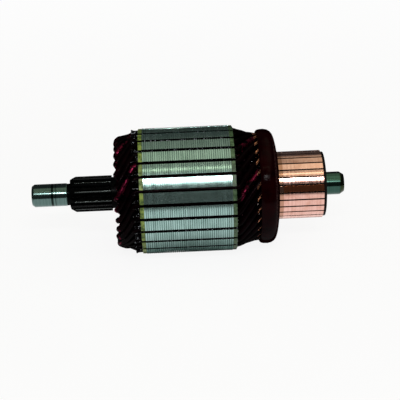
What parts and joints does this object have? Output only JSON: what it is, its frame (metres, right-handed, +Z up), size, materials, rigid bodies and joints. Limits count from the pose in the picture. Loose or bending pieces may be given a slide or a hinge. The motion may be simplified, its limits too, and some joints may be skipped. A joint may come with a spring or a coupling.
{
  "type": "motor rotor",
  "caption": "Wound starter motor rotor: slotted steel core with hairpin windings, pinion cut on the shaft and a copper commutator.",
  "frame": {"origin": "on the axis of rotation at half the overall length", "axes": "+X along the axis from the pinion end towards the commutator end, +Z up, with one core slot straight down"},
  "size_m": [0.1492, 0.06, 0.06],
  "materials": {
    "shaft_steel": "ground journals, blackened pinion",
    "core_steel": "turned sheet edges",
    "fibre": "matt fibre sheet",
    "slot_paper": "varnished insulating paper",
    "enamelled_copper": "dark glossy enamel over copper",
    "bar_copper": "turned copper",
    "black_moulding": "moulded",
    "resin": "glossy hardened resin"
  },
  "bodies": {
    "root": {"shaft": "shaft_steel", "core_stack": "core_steel", "end_sheet_drive": "fibre", "end_sheet_rear": "fibre", "slot_liners": "slot_paper", "hairpin_01": "enamelled_copper", "hairpin_02": "enamelled_copper", "hairpin_03": "enamelled_copper", "hairpin_04": "enamelled_copper", "hairpin_05": "enamelled_copper", "hairpin_06": "enamelled_copper", "hairpin_07": "enamelled_copper", "hairpin_08": "enamelled_copper", "hairpin_09": "enamelled_copper", "hairpin_10": "enamelled_copper", "hairpin_11": "enamelled_copper", "hairpin_12": "enamelled_copper", "hairpin_13": "enamelled_copper", "hairpin_14": "enamelled_copper", "hairpin_15": "enamelled_copper", "hairpin_16": "enamelled_copper", "hairpin_17": "enamelled_copper", "hairpin_18": "enamelled_copper", "hairpin_19": "enamelled_copper", "hairpin_20": "enamelled_copper", "hairpin_21": "enamelled_copper", "hairpin_22": "enamelled_copper", "hairpin_23": "enamelled_copper", "hairpin_24": "enamelled_copper", "hairpin_25": "enamelled_copper", "hairpin_26": "enamelled_copper", "hairpin_27": "enamelled_copper", "hairpin_28": "enamelled_copper", "commutator_bars": "bar_copper", "commutator_moulding": "black_moulding", "riser_band": "resin"}
  },
  "joints": []
}
